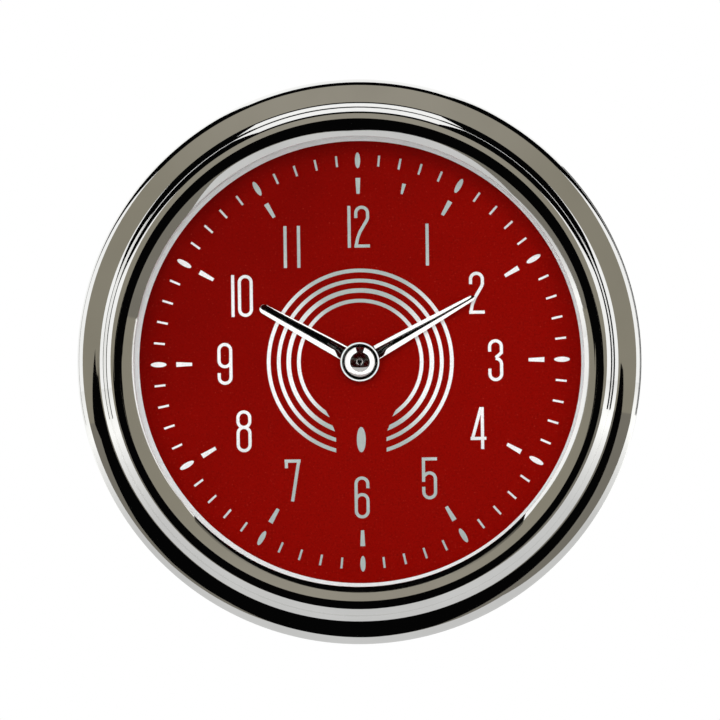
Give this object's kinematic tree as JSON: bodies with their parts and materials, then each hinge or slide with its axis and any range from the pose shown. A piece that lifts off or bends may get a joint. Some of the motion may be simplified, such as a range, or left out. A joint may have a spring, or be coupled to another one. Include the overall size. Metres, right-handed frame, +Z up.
{
  "type": "car dashboard clock",
  "caption": "Round car dashboard clock with a stepped chrome bezel, red dial, coupled hands driven by a geared stepping motor, rear setting knob and clamp bracket.",
  "frame": {"origin": "centre of the bezel's seat, on the front face of the panel", "axes": "-Y to the viewer out of the dial, +Y to the rear along the clock's axis, +X to the viewer's right, +Z up to twelve"},
  "size_m": [0.0604, 0.0565, 0.0604],
  "materials": {
    "chrome": "polished",
    "clear_glass": "clear",
    "lamp_glass": "clear",
    "black_rubber": "matt",
    "satin_aluminium": "satin",
    "red_dial": "fine satin lacquer with silver print",
    "plated_steel": "zinc plated",
    "steel": "bright",
    "brass": "machined",
    "tinned_brass": "tinned",
    "plate_resin": "moulded",
    "soft_iron": "bare",
    "magnet": "sintered",
    "white_resin": "moulded",
    "copper_wire": "enamelled",
    "board": "lacquered",
    "crystal_can": "bright",
    "black_resin": "moulded",
    "capacitor_sleeve": "shrink sleeve",
    "red_lead": "insulated"
  },
  "bodies": {
    "housing": {"bezel": "chrome", "lens": "clear_glass", "lens_gasket": "black_rubber", "spacer_ring": "satin_aluminium", "dial": "red_dial", "dial_feet": "brass", "dial_feet_nuts": "brass", "case": "plated_steel", "front_plate": "plate_resin", "back_plate": "plate_resin", "plate_pillars": "brass", "plate_screws": "steel", "centre_bush": "brass", "minute_wheel_post": "steel", "stator": "soft_iron", "coil_core": "soft_iron", "coil_bobbin": "white_resin", "coil_winding": "copper_wire", "motor_screws": "steel", "circuit_board": "board", "board_screws": "steel", "quartz_crystal": "crystal_can", "driver_chip": "black_resin", "capacitor": "capacitor_sleeve", "terminal_blades": "tinned_brass", "terminal_insulators": "white_resin", "supply_leads": "red_lead", "lamp_socket": "black_resin", "socket_contacts": "tinned_brass", "lamp_bulb": "lamp_glass", "shaft_bush": "brass", "mounting_studs": "steel", "spacer_sleeves": "steel", "stud_nuts": "steel"},
    "minute_arbor": {"centre_arbor": "steel", "centre_wheel": "brass", "cannon_pinion": "steel", "minute_hand": "chrome", "hub_cap": "chrome"},
    "hour_pipe": {"hour_wheel": "brass", "hour_hand": "chrome"},
    "minute_wheel_body": {"minute_wheel": "brass"},
    "third_arbor": {"third_pinion": "steel", "third_wheel": "brass"},
    "rotor": {"rotor_pinion": "white_resin", "rotor_magnet": "magnet"},
    "setting_shaft": {"set_shaft": "steel", "set_knob": "black_resin"},
    "clamp": {"clamp_bracket": "plated_steel", "clamp_washers": "steel", "clamp_nuts": "brass"}
  },
  "joints": [
    {"name": "minute_turn", "type": "hinge", "parent": "housing", "child": "minute_arbor", "pos_m": [0, 0.005, 0], "axis": [0, 1, 0], "continuous": true},
    {"name": "hour_turn", "type": "hinge", "parent": "housing", "child": "hour_pipe", "pos_m": [0, 0.005, 0], "axis": [0, 1, 0], "continuous": true},
    {"name": "minute_wheel_turn", "type": "hinge", "parent": "housing", "child": "minute_wheel_body", "pos_m": [0, 0.005, -0.006], "axis": [0, 1, 0], "continuous": true},
    {"name": "third_turn", "type": "hinge", "parent": "housing", "child": "third_arbor", "pos_m": [-0.01043, 0.005, 0.0028], "axis": [0, 1, 0], "continuous": true},
    {"name": "rotor_turn", "type": "hinge", "parent": "housing", "child": "rotor", "pos_m": [-0.00756, 0.005, 0.01069], "axis": [0, 1, 0], "continuous": true},
    {"name": "setting_turn", "type": "hinge", "parent": "housing", "child": "setting_shaft", "pos_m": [0, 0.005, -0.012], "axis": [0, 1, 0], "continuous": true},
    {"name": "clamp_slide", "type": "slide", "parent": "housing", "child": "clamp", "axis": [0, -1, 0], "range_m": [0, 0.0045]}
  ],
  "couplings": [
    {"joint": "hour_turn", "follows": "minute_turn", "ratio": 0.083333},
    {"joint": "minute_wheel_turn", "follows": "minute_turn", "ratio": -0.33333},
    {"joint": "third_turn", "follows": "minute_turn", "ratio": -5},
    {"joint": "rotor_turn", "follows": "minute_turn", "ratio": 30},
    {"joint": "setting_turn", "follows": "minute_turn", "ratio": 1}
  ]
}
